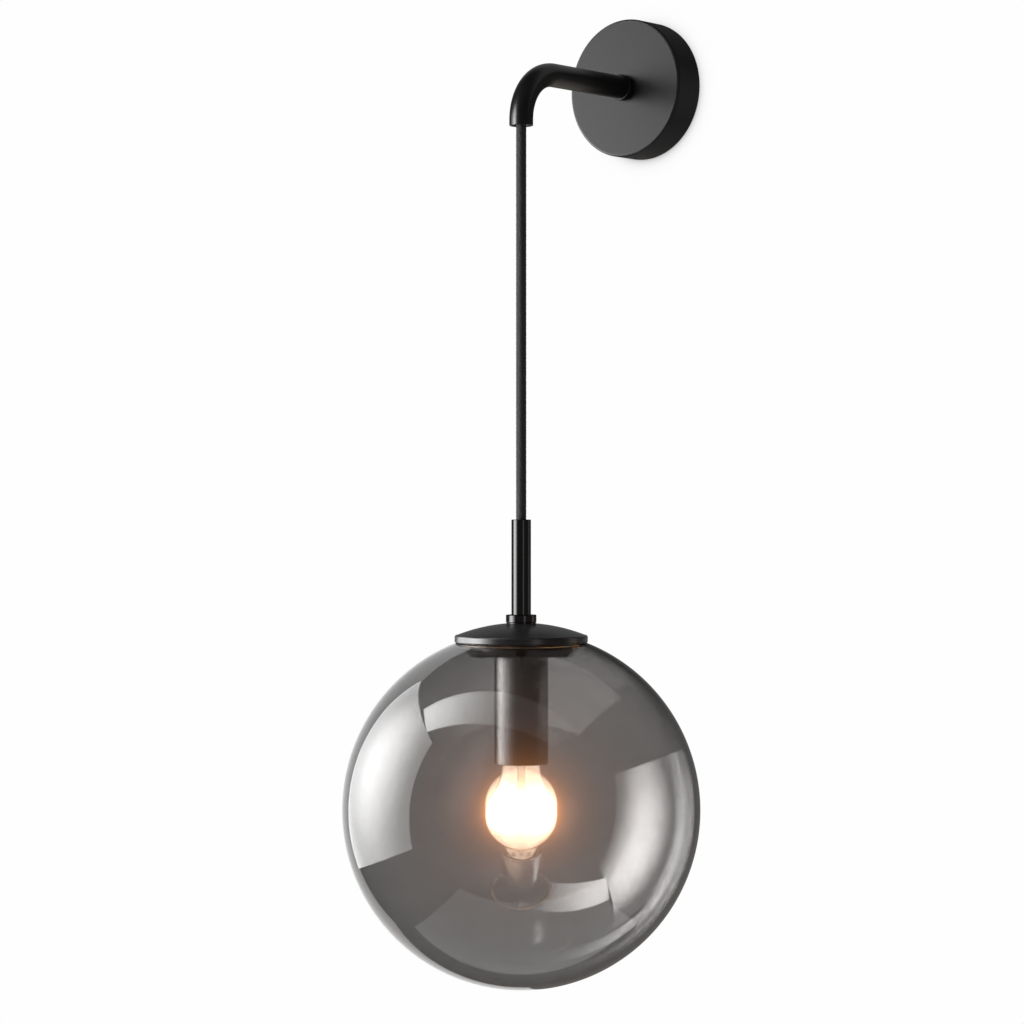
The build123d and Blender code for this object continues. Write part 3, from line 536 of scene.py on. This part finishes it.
def braided_cord(name, line, radius=0.00412, carriers=16, angle=38.0, width=0.00128, thick=0.00011, per_cross=4):
    """Two sets of flat yarn bundles, wound both ways and passing over two and under two."""
    pitch = tau * radius / np.tan(radians(angle))
    step = pitch / (2 * carriers) / per_cross
    u, q, tan, e1, e2 = frames_along(line, step)
    n = len(u)
    across = [(-1.0, -0.55), (-0.62, 0.55), (0.0, 1.0), (0.62, 0.55), (1.0, -0.55)]
    ca, sa = cos(radians(angle)), sin(radians(angle))
    verts, faces, uvs = [], [], []
    for hand in (1, -1):
        for c in range(carriers):
            base = len(verts)
            phase0 = tau * c / carriers + (0.0 if hand == 1 else pi / carriers * 0.5)
            ph = phase0 + hand * tau * u / pitch
            cross = carriers * (ph * hand - phase0 * hand) / pi
            # over two, under two: the wave is shifted by one crossing from one bundle to the next
            lift = np.sin(pi * (cross + 0.5 + (c if hand == 1 else c + 1)) / 2.0 + (0 if hand == 1 else pi / 2))
            rr = radius + 0.00009 * np.clip(lift * 1.5, -1, 1)
            # fill of the bundle varies a little along it
            wv = 1.0 + 0.06 * np.sin(u * 911.0 + c * 2.1 + hand) + 0.04 * np.sin(u * 2310.0 + c * 5.3)
            cosp, sinp = np.cos(ph), np.sin(ph)
            rad = e1 * cosp[:, None] + e2 * sinp[:, None]
            hoop = (-e1 * sinp[:, None] + e2 * cosp[:, None]) * hand
            side = -tan * sa + hoop * ca
            for a, h in across:
                # the bundle lies on the round of the cord, so its edges follow the circle
                off = a * width * 0.5 * wv
                sag = (off * ca) ** 2 / (2 * radius)
                pos = q + rad * (rr + h * thick - sag)[:, None] + side * off[:, None]
                verts.append(pos)
            k = len(across)
            idx = np.arange(n)
            base_c = base
            for j in range(k - 1):
                for i in range(n - 1):
                    a0 = (base_c + j) * n + i
                    a1 = (base_c + j + 1) * n + i
                    faces.append((a0, a1, a1 + 1, a0 + 1) if hand == 1 else (a0, a0 + 1, a1 + 1, a1))
                    uvs.append((u[i] * 400, j / 4.0, u[i] * 400, (j + 1) / 4.0, u[i + 1] * 400, (j + 1) / 4.0,
                                u[i + 1] * 400, j / 4.0) if hand == 1 else
                               (u[i] * 400, j / 4.0, u[i + 1] * 400, j / 4.0, u[i + 1] * 400, (j + 1) / 4.0,
                                u[i] * 400, (j + 1) / 4.0))
    V = np.concatenate(verts)
    # the sleeve's dark inside, a closed tube just under the bundles
    core_r = radius - 0.00034
    seg = 32
    first = len(V)
    rows = np.arange(0, n, 24)
    if rows[-1] != n - 1:
        rows = np.append(rows, n - 1)
    ring = []
    for i in rows:
        for s in range(seg):
            a = tau * s / seg
            ring.append(q[i] + (e1[i] * cos(a) + e2[i] * sin(a)) * core_r)
    V = np.concatenate([V, np.array(ring), q[[rows[0], rows[-1]]]])
    for r in range(len(rows) - 1):
        for s in range(seg):
            s2 = (s + 1) % seg
            a = first + r * seg
            b = a + seg
            faces.append((a + s, b + s, b + s2, a + s2))
            uvs.append((0.0,) * 8)
    top, bot = len(V) - 2, len(V) - 1
    for s in range(seg):
        s2 = (s + 1) % seg
        faces.append((top, first + s, first + s2))
        uvs.append((0.0,) * 6)
        a = first + (len(rows) - 1) * seg
        faces.append((bot, a + s2, a + s))
        uvs.append((0.0,) * 6)
    me = bpy.data.meshes.new(name)
    me.from_pydata(V.tolist(), [], faces)
    me.polygons.foreach_set("use_smooth", [True] * len(me.polygons))
    layer = me.uv_layers.new(name="strand")
    flat = [x for f in uvs for x in f]
    layer.data.foreach_set("uv", flat)
    me.materials.append(M["braid"])
    me.update()
    ob = bpy.data.objects.new(name, me)
    scene.collection.objects.link(ob)
    return ob


cord_line = route_spline()
cord = braided_cord("cord_braid", cord_line)
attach(cord, "cord")
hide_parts("hanging_cord")

# ============================================================= glass globe
GZ, GR, GT = -620.0, 150.0, 2.5
LIP = 2.2
lip_r = 52.13
lip_z = GZ + sqrt((GR - LIP) ** 2 - lip_r ** 2)
a_lip = atan2(lip_r, lip_z - GZ)
er = (sin(a_lip), cos(a_lip))
et = (-cos(a_lip), sin(a_lip))
t_in = 360.0 - np.degrees(acos(((GR - GT) ** 2 - (GR - LIP) ** 2 - LIP ** 2) / (2 * (GR - LIP) * LIP)))


def lip_pt(deg):
    c, s = cos(radians(deg)), sin(radians(deg))
    return (lip_r + LIP * (c * er[0] + s * et[0]), lip_z + LIP * (c * er[1] + s * et[1]))


N_SPH = 150
outer = [(GR * sin(pi - (pi - a_lip) * i / N_SPH), GZ + GR * cos(pi - (pi - a_lip) * i / N_SPH)) for i in range(N_SPH + 1)]
outer[0] = (0.0, GZ - GR)
bead = [lip_pt(t_in * i / 28) for i in range(1, 29)]
pin = bead[-1]
a_in = atan2(pin[0], pin[1] - GZ)
rin = GR - GT
inner = [(rin * sin(a_in + (pi - a_in) * i / N_SPH), GZ + rin * cos(a_in + (pi - a_in) * i / N_SPH)) for i in range(1, N_SPH + 1)]
inner[-1] = (0.0, GZ - rin)
globe = spin_mesh("globe_smoked_glass", outer + bead + inner, segments=256, material=M["smoke"])
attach(globe, "globe")
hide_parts("glass_globe")

# the vapour coating on its inside, a hundredth of a millimetre of metal
def sphere_line(rad, a0, a1, n):
    pts = [(rad * sin(a0 + (a1 - a0) * i / n), GZ + rad * cos(a0 + (a1 - a0) * i / n)) for i in range(n + 1)]
    return pts


a_c = a_in + radians(0.6)
c_out = sphere_line(rin - 0.10, pi, a_c, 120)
c_in = sphere_line(rin - 0.16, a_c, pi, 120)
c_out[0] = (0.0, GZ - (rin - 0.10))
c_in[-1] = (0.0, GZ - (rin - 0.16))
coat = spin_mesh("globe_smoke_coating", c_out + c_in, segments=192, material=[M["vapour_back"], M["vapour"]],
                 split=lambda i: 0 if i <= 120 else 1)
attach(coat, "globe")

# ============================================================== lamp glass
LR, LZ, LT = 30.2, -624.4, 0.8
NECK = [(12.0, -572.0), (12.5, -576.2), (14.7, -580.8), (16.2, -586.2), (17.2, -591.8), (19.2, -597.6)]
JOIN = radians(48.0)


def lamp_profile(off):
    rad = LR - off
    pts = [(r - off, z) for r, z in NECK] + [(rad * sin(JOIN), LZ + rad * cos(JOIN))]
    P = np.array(pts)
    d = np.linalg.norm(np.diff(P, axis=0), axis=1)
    s = np.concatenate([[0], np.cumsum(d)])
    n = len(P)
    # cubic spline with given end tangents
    out = []
    T0 = np.array([0.03, -1.0]); T0 /= np.linalg.norm(T0)
    T1 = np.array([cos(JOIN), -sin(JOIN)])
    A = np.zeros((n, n)); B = np.zeros((n, 2))
    A[0, 0] = A[-1, -1] = 1
    B[0], B[-1] = T0, T1
    for i in range(1, n - 1):
        h0, h1 = d[i - 1], d[i]
        A[i, i - 1], A[i, i], A[i, i + 1] = h1, 2 * (h0 + h1), h0
        B[i] = 3 * (h0 * (P[i + 1] - P[i]) / h1 + h1 * (P[i] - P[i - 1]) / h0)
    D = np.linalg.solve(A, B)
    for i in range(n - 1):
        h = d[i]
        for k in range(8):
            t = k / 8
            a = (1 + 2 * t) * (1 - t) ** 2
            b = t * (1 - t) ** 2 * h
            c = t * t * (3 - 2 * t)
            e = t * t * (t - 1) * h
            out.append(tuple(a * P[i] + b * D[i] + c * P[i + 1] + e * D[i + 1]))
    m = 64
    for k in range(m + 1):
        a = JOIN + (pi - JOIN) * k / m
        out.append((rad * sin(a), LZ + rad * cos(a)))
    out[-1] = (0.0, LZ - rad)
    return out


lo = lamp_profile(0.0)
li = lamp_profile(LT)
n_in = len(li)
lamp = spin_mesh("lamp_bulb_glass", li[::-1] + lo, segments=160, material=[M["lamp_out"], M["lamp_in"]],
                 split=lambda i: 1 if i < n_in - 1 else 0)
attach(lamp, "lamp")
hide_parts("lamp_glass")
for n_ in ("lamp_filament",):
    nodes[n_].visible_diffuse = False
    nodes[n_].visible_glossy = False


# ============================================================ studio, floor
world = bpy.data.worlds.new("studio")
scene.world = world
world.use_nodes = True
wt = world.node_tree
for n_ in list(wt.nodes):
    wt.nodes.remove(n_)
w_out = wt.nodes.new("ShaderNodeOutputWorld")
bg_white = wt.nodes.new("ShaderNodeBackground")
bg_white.inputs["Color"].default_value = (0.99, 0.99, 0.99, 1)
bg_white.inputs["Strength"].default_value = 1.0
bg_room = wt.nodes.new("ShaderNodeBackground")
tc = wt.nodes.new("ShaderNodeTexCoord")
sep = wt.nodes.new("ShaderNodeSeparateXYZ")
wt.links.new(tc.outputs["Generated"], sep.inputs[0])
half = wt.nodes.new("ShaderNodeMath")
half.operation = "MULTIPLY_ADD"
half.inputs[1].default_value = 0.5
half.inputs[2].default_value = 0.5
wt.links.new(sep.outputs["Z"], half.inputs[0])
# dark above, paler and warmer towards the floor
room = ramp(wt, half.outputs[0], [(0.0, (0.150, 0.142, 0.134)), (0.30, (0.150, 0.142, 0.134)), (0.47, (0.125, 0.122, 0.120)),
                                  (0.55, (0.090, 0.089, 0.088)), (0.64, (0.030, 0.030, 0.030)), (0.80, (0.085, 0.085, 0.085)),
                                  (0.92, (0.085, 0.085, 0.085)), (1.0, (0.040, 0.040, 0.040))])
# a pale card lies on the studio floor under the lamp: where a direction meets it, in its own two axes
down = math_node(wt, "MAXIMUM", math_node(wt, "MULTIPLY", sep.outputs["Z"], -1.0), 0.02)
card = None
for axis_, lo_, hi_ in (((0.7644, 0.6448, 0.0), -0.84, 0.95), ((0.6448, -0.7644, 0.0), -0.65, 0.70)):
    dot_ = wt.nodes.new("ShaderNodeVectorMath")
    dot_.operation = "DOT_PRODUCT"
    dot_.inputs[1].default_value = axis_
    wt.links.new(tc.outputs["Generated"], dot_.inputs[0])
    q_ = math_node(wt, "DIVIDE", dot_.outputs["Value"], down)
    both = math_node(wt, "MULTIPLY", math_node(wt, "GREATER_THAN", q_, lo_), math_node(wt, "LESS_THAN", q_, hi_))
    card = both if card is None else math_node(wt, "MULTIPLY", card, both)
card = math_node(wt, "MULTIPLY", card, math_node(wt, "LESS_THAN", sep.outputs["Z"], -0.1))
lift = wt.nodes.new("ShaderNodeVectorMath")
lift.operation = "ADD"
wt.links.new(room, lift.inputs[0])
lp = wt.nodes.new("ShaderNodeLightPath")
deep = math_node(wt, "GREATER_THAN", lp.outputs["Transmission Depth"], 0.5)     # seen in the back of the globe it is stronger
wt.links.new(math_node(wt, "MULTIPLY", card, math_node(wt, "ADD", math_node(wt, "MULTIPLY", deep, 0.55), 0.30)), lift.inputs[1])
wt.links.new(lift.outputs[0], bg_room.inputs["Color"])
bg_room.inputs["Strength"].default_value = 1.0
dg = wt.nodes.new("ShaderNodeMath")
dg.operation = "ADD"
wt.links.new(lp.outputs["Glossy Depth"], dg.inputs[0])
wt.links.new(lp.outputs["Diffuse Depth"], dg.inputs[1])
gt = wt.nodes.new("ShaderNodeMath")
gt.operation = "GREATER_THAN"
gt.inputs[1].default_value = 0.5
wt.links.new(dg.outputs[0], gt.inputs[0])
wmix = wt.nodes.new("ShaderNodeMixShader")
wt.links.new(gt.outputs[0], wmix.inputs["Fac"])
wt.links.new(bg_white.outputs[0], wmix.inputs[1])
wt.links.new(bg_room.outputs[0], wmix.inputs[2])
wt.links.new(wmix.outputs[0], w_out.inputs["Surface"])


def softbox(name, centre, target, size, radiance, colour=(1, 1, 1), hot=None, edge=0.35, reach=0.62, tall=1.0):
    """A rectangular light.  hot is where its brightest spot lies (0..1 across, 0..1 up), and edge how
    bright its rim is next to that; a spot that is taller than wide has tall below 1."""
    li_ = bpy.data.lights.new(name, "AREA")
    if hot:
        li_.use_nodes = True
        t = li_.node_tree
        em = t.nodes["Emission"]
        g = t.nodes.new("ShaderNodeNewGeometry")
        sub = t.nodes.new("ShaderNodeVectorMath")
        sub.operation = "SUBTRACT"
        sub.inputs[1].default_value = (hot[0], hot[1], 0)
        t.links.new(g.outputs["Parametric"], sub.inputs[0])
        sc_ = t.nodes.new("ShaderNodeVectorMath")
        sc_.operation = "MULTIPLY"
        sc_.inputs[1].default_value = (1, tall * size[1] / size[0], 0)
        t.links.new(sub.outputs[0], sc_.inputs[0])
        ln = t.nodes.new("ShaderNodeVectorMath")
        ln.operation = "LENGTH"
        t.links.new(sc_.outputs[0], ln.inputs[0])
        mr = t.nodes.new("ShaderNodeMapRange")
        mr.interpolation_type = "SMOOTHSTEP"
        mr.inputs["From Min"].default_value = 0.0
        mr.inputs["From Max"].default_value = reach
        mr.inputs["To Min"].default_value = 1.0
        mr.inputs["To Max"].default_value = edge
        t.links.new(ln.outputs["Value"], mr.inputs["Value"])
        t.links.new(mr.outputs["Result"], em.inputs["Strength"])
    li_.shape = "RECTANGLE"
    li_.size, li_.size_y = size
    li_.energy = radiance * pi * size[0] * size[1]
    li_.color = colour
    o = bpy.data.objects.new(name, li_)
    scene.collection.objects.link(o)
    o.location = centre
    d = Vector(target) - Vector(centre)
    o.rotation_euler = d.to_track_quat("-Z", "Y").to_euler()
    o.visible_camera = False
    return o


az = radians(40.149)
right_v = Vector((cos(az), sin(az), 0))
back_v = Vector((sin(az), -cos(az), 0))
G = Vector((0, -0.170, -0.620))


def around(theta, dist, dz=0.0):
    """A point at an angle to the right of the direction back to the camera, seen from the globe."""
    a = radians(theta)
    return G + (back_v * cos(a) + right_v * sin(a)) * dist + Vector((0, 0, dz))


left_c = around(-106, 1.2, 0.31)
soft_left = softbox("softbox_left", left_c, (G.x, G.y, left_c.z), (1.64, 1.54), 8.8, hot=(0.48, 0.52), edge=0.36, reach=0.50)
soft_left.visible_transmission = False
# the same softbox as the inside of the glass shows it
in_c = left_c + (Vector((G.x, G.y, left_c.z)) - left_c).normalized() * 0.006
soft_in = softbox("softbox_left_inside", in_c, (G.x, G.y, in_c.z), (1.64, 1.54), 10.8, hot=(0.57, 0.62), edge=0.07, reach=0.44, tall=0.45)
soft_in.visible_glossy = False
over_c = G + Vector((0.017, -0.611, 1.40))
over = softbox("softbox_over", over_c, over_c - Vector((0, 0, 1)), (2.60, 0.66), 8.2, hot=(0.05, 0.5), edge=0.03, reach=0.56)
over.rotation_euler = (0, 0, radians(14))
rc = around(26, 1.8, 0.35)
fill_right = softbox("strip_front", rc, (G.x, G.y, rc.z), (0.34, 1.9), 1.25, (1.0, 0.97, 0.93))
rc = around(100, 1.8, 0.35)
fill_side = softbox("strip_right", rc, (G.x, G.y, rc.z), (0.50, 1.9), 0.80, (1.0, 0.86, 0.76))
kc = around(-78, 1.5, 0.30)
key = softbox("softbox_metal", kc, (G.x, G.y, kc.z), (1.50, 1.5), 14.5, hot=(0.46, 0.5), edge=0.16, reach=0.52)
# these two only light the black metal, so the globe shows no image of them
dark_parts = bpy.data.collections.new("lit_by_metal_lights")
for k_, o_ in list(nodes.items()) + [("cord", cord)]:
    if k_ != "canopy":
        dark_parts.objects.link(o_)
key.light_linking.receiver_collection = dark_parts
right_parts = bpy.data.collections.new("lit_from_the_right")
side_parts = bpy.data.collections.new("lit_from_the_side")
for k_, o_ in list(nodes.items()) + [("cord", cord)]:
    if k_ not in ("socket_cup", "arm_tube"):
        right_parts.objects.link(o_)
    if k_ not in ("socket_cup", "canopy", "arm_tube"):
        side_parts.objects.link(o_)
fill_right.light_linking.receiver_collection = right_parts
fill_side.light_linking.receiver_collection = side_parts
# and these only the glass and the wide face of the canopy
soft_parts = bpy.data.collections.new("lit_by_softboxes")
for o_ in (globe, coat, lamp, nodes["canopy"], nodes["globe_cap"]):
    soft_parts.objects.link(o_)
soft_left.light_linking.receiver_collection = soft_parts
glass_parts = bpy.data.collections.new("glass")
for o_ in (globe, coat, lamp):
    glass_parts.objects.link(o_)
soft_in.light_linking.receiver_collection = glass_parts
top_parts = bpy.data.collections.new("lit_from_above")
for o_ in (globe, coat, lamp, nodes["canopy"], nodes["globe_cap"]):
    top_parts.objects.link(o_)
over.light_linking.receiver_collection = top_parts
# the pale backdrop far behind, which the glass shows only at its edge
bc = around(-161, 2.0, 0.1)
behind = softbox("backdrop_edge", bc, (G.x, G.y, bc.z), (1.50, 3.0), 0.86)
behind.visible_transmission = False
glass_only = bpy.data.collections.new("lit_at_the_edge")
glass_only.objects.link(globe)
behind.light_linking.receiver_collection = glass_only
# the pale wall above and below the canopy, as the arm shows it, and the backdrop, as the cap shows it
arm_only = bpy.data.collections.new("lit_by_the_wall")
arm_only.objects.link(nodes["arm_tube"])
for name_, z_, h_, l_, c_ in (("wall_above", 0.27, 0.40, 0.28, (1, 1, 1)), ("wall_below", -0.28, 0.42, 0.42, (1.0, 0.88, 0.76))):
    wl = softbox(name_, (0.0, -0.004, z_), (0.0, -1.0, z_), (1.1, h_), l_, c_)
    wl.light_linking.receiver_collection = arm_only
    wl.visible_transmission = False
ac = around(-68, 1.5, 0.80)
al = softbox("softbox_arm", ac, (0.0, -0.170, 0.18), (0.60, 0.90), 12.0)
al.light_linking.receiver_collection = arm_only
al.visible_transmission = False
canopy_only = bpy.data.collections.new("lit_on_its_side")
canopy_only.objects.link(nodes["canopy"])
nc = around(100, 1.8, 0.62)
nl = softbox("canopy_side", nc, (0.0, 0.0, 0.0), (1.6, 1.4), 0.12)
nl.light_linking.receiver_collection = canopy_only
nl.visible_transmission = False
cap_only = bpy.data.collections.new("lit_by_the_backdrop")
cap_only.objects.link(nodes["globe_cap"])
cc = around(180, 2.0, 0.4)
cl = softbox("backdrop_cap", cc, (G.x, G.y, cc.z), (4.6, 2.4), 0.13)
cl.light_linking.receiver_collection = cap_only
cl.visible_transmission = False
# the lamp's own light on the metal round it
bulb_light = bpy.data.lights.new("lamp_light", "POINT")
bulb_light.energy = 1.6
bulb_light.color = (1.0, 0.66, 0.36)
bulb_light.shadow_soft_size = 0.012
bl = bpy.data.objects.new("lamp_light", bulb_light)
scene.collection.objects.link(bl)
bl.location = (0.0, -0.170, -0.620)
bl.visible_camera = False
bl.visible_transmission = False
lamp_parts = bpy.data.collections.new("lit_by_the_lamp")
for k_, o_ in list(nodes.items()) + [("cord", cord)]:
    if k_ not in ("canopy", "socket_cup"):
        lamp_parts.objects.link(o_)
bl.light_linking.receiver_collection = lamp_parts
for o_ in (globe, coat, lamp):
    o_.visible_shadow = False
# the gasket's painted glow is kept out of reflections
nodes["globe_gasket"].visible_glossy = False

# floor, pale, fading out at its edge
fm, ft, fb = new_material("stage_floor")
fb.inputs["Base Color"].default_value = (0.86, 0.86, 0.85, 1)
fb.inputs["Roughness"].default_value = 0.7
fb.inputs["Emission Color"].default_value = (0.93, 0.93, 0.925, 1)
fb.inputs["Emission Strength"].default_value = 0.86
fo = ft.nodes["Material Output"]
fr = radius_from(ft, coords(ft), "Z", (0, 0, 0))
fac = ft.nodes.new("ShaderNodeMapRange")
fac.interpolation_type = "SMOOTHSTEP"
fac.inputs["From Min"].default_value = 0.35
fac.inputs["From Max"].default_value = 1.15
ft.links.new(fr, fac.inputs["Value"])
tr = ft.nodes.new("ShaderNodeBsdfTransparent")
ms = ft.nodes.new("ShaderNodeMixShader")
ft.links.new(fac.outputs["Result"], ms.inputs["Fac"])
ft.links.new(fb.outputs[0], ms.inputs[1])
ft.links.new(tr.outputs[0], ms.inputs[2])
ft.links.new(ms.outputs[0], fo.inputs["Surface"])
bpy.ops.mesh.primitive_plane_add(size=2.4, location=(0, 0, -1.25))
floor = bpy.context.object
floor.name = "floor"
floor.data.materials.append(fm)
floor.visible_glossy = False
floor.visible_transmission = False
floor.visible_diffuse = False

# the wall's soft shadow round the canopy: a film on the wall plane that only darkens what is behind it
sm, st, sb = new_material("stage_shadow")
st.nodes.remove(sb)
so = st.nodes["Material Output"]
sc = coords(st)
d_r = radius_from(st, sc, "Y", (0.00095, 0.0, -0.00165))
r1 = ramp(st, math_node(st, "MULTIPLY", math_node(st, "SUBTRACT", d_r, 0.055), 1 / 0.030),
          [(0.10, 0.47), (0.167, 0.70), (0.2, 0.775), (0.233, 0.83), (0.283, 0.889), (0.333, 0.928), (0.40, 0.959),
           (0.50, 0.983), (0.633, 0.9945), (0.833, 1.0)])
geo = st.nodes.new("ShaderNodeNewGeometry")
bf = st.nodes.new("ShaderNodeMix")
bf.data_type = "RGBA"
st.links.new(geo.outputs["Backfacing"], bf.inputs["Factor"])
st.links.new(r1, bf.inputs["A"])
bf.inputs["B"].default_value = (1, 1, 1, 1)
stt = st.nodes.new("ShaderNodeBsdfTransparent")
st.links.new(bf.outputs["Result"], stt.inputs["Color"])
st.links.new(stt.outputs[0], so.inputs["Surface"])
bm = bmesh.new()
va = [bm.verts.new((0.0575 * cos(tau * k / 128), -0.0002, 0.0575 * sin(tau * k / 128))) for k in range(128)]
vb = [bm.verts.new((0.100 * cos(tau * k / 128), -0.0002, 0.100 * sin(tau * k / 128))) for k in range(128)]
for k in range(128):
    bm.faces.new((va[k], vb[k], vb[(k + 1) % 128], va[(k + 1) % 128]))
bmesh.ops.recalc_face_normals(bm, faces=bm.faces[:])
for f in bm.faces:
    if f.normal.y > 0:
        f.normal_flip()
sme = bpy.data.meshes.new("wall_shadow")
bm.to_mesh(sme)
bm.free()
film = bpy.data.objects.new("wall_shadow", sme)
scene.collection.objects.link(film)
sme.materials.append(sm)
for a in ("visible_diffuse", "visible_glossy", "visible_transmission", "visible_shadow"):
    setattr(film, a, False)

# ------------------------------------------------ picture: glow of the lamp
scene.view_settings.view_transform = "Standard"
scene.view_settings.look = "None"
scene.use_nodes = True
ct = scene.node_tree
for n_ in list(ct.nodes):
    ct.nodes.remove(n_)
rl = ct.nodes.new("CompositorNodeRLayers")
last = rl.outputs["Image"]
for kind, size, strength, tint in (("BLOOM", 0.20, 1.0, (1.0, 0.48, 0.14)), ("BLOOM", 0.20, 0.62, (1.0, 0.48, 0.14))):
    gl = ct.nodes.new("CompositorNodeGlare")
    gl.glare_type = kind
    gl.quality = "HIGH"
    gl.inputs["Threshold"].default_value = 1.12
    gl.inputs["Smoothness"].default_value = 0.1
    gl.inputs["Strength"].default_value = strength
    gl.inputs["Size"].default_value = size
    gl.inputs["Tint"].default_value = (*tint, 1.0)
    ct.links.new(last, gl.inputs["Image"])
    last = gl.outputs["Image"]
co = ct.nodes.new("CompositorNodeComposite")
ct.links.new(last, co.inputs["Image"])
